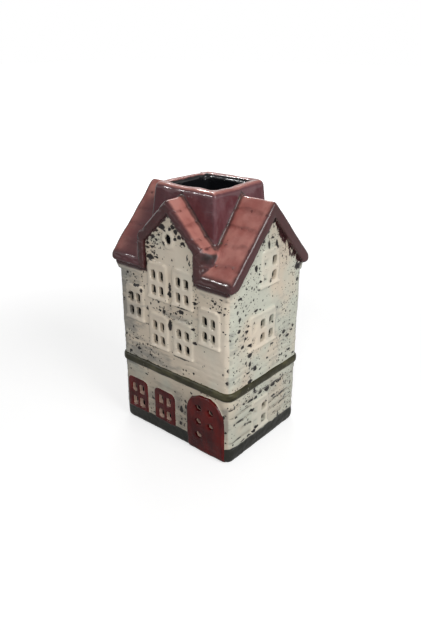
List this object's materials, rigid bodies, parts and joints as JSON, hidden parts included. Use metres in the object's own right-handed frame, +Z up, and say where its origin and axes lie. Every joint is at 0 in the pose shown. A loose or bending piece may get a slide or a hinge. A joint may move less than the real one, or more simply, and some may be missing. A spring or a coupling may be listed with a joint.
{
  "type": "house candle holder",
  "caption": "Hollow glazed ceramic house for a tea light: pierced windows, tiled gable roof with a front dormer, square smoke opening at the ridge and an arched opening at the back.",
  "frame": {"origin": "on the table, under the middle of the part's bounding box", "axes": "+Z up, -Y towards the front with the door and dormer, +X to the viewer's right seen from the front"},
  "size_m": [0.0972, 0.0774, 0.1638],
  "materials": {
    "cream_glaze": "cream gloss glaze broken by dark specks",
    "roof_glaze": "gloss dusty red-brown glaze, darker on edges",
    "red_glaze": "gloss deep red glaze",
    "olive_glaze": "satin olive glaze",
    "plinth_glaze": "satin dark olive-grey glaze"
  },
  "bodies": {
    "root": {"back_roof": "roof_glaze", "back_wall": "cream_glaze", "back_window_left": "cream_glaze", "back_window_middle": "cream_glaze", "back_window_right": "cream_glaze", "base_tray": "plinth_glaze", "centre_window_left": "cream_glaze", "centre_window_right": "cream_glaze", "chimney_frame": "roof_glaze", "dormer_cheek_left": "roof_glaze", "dormer_cheek_right": "roof_glaze", "dormer_roof_left": "roof_glaze", "dormer_roof_right": "roof_glaze", "dormer_window_left": "cream_glaze", "dormer_window_right": "cream_glaze", "front_door": "red_glaze", "front_roof_left": "roof_glaze", "front_roof_right": "roof_glaze", "front_wall": "cream_glaze", "front_window_left": "cream_glaze", "front_window_right": "cream_glaze", "left_gable_attic_window": "cream_glaze", "left_gable_ground_window": "cream_glaze", "left_gable_upper_window": "cream_glaze", "left_gable_wall": "cream_glaze", "oculus_ring": "cream_glaze", "red_window_left": "red_glaze", "red_window_middle": "red_glaze", "right_gable_attic_window": "cream_glaze", "right_gable_ground_window": "cream_glaze", "right_gable_upper_window": "cream_glaze", "right_gable_wall": "cream_glaze", "string_course": "olive_glaze"}
  },
  "joints": []
}
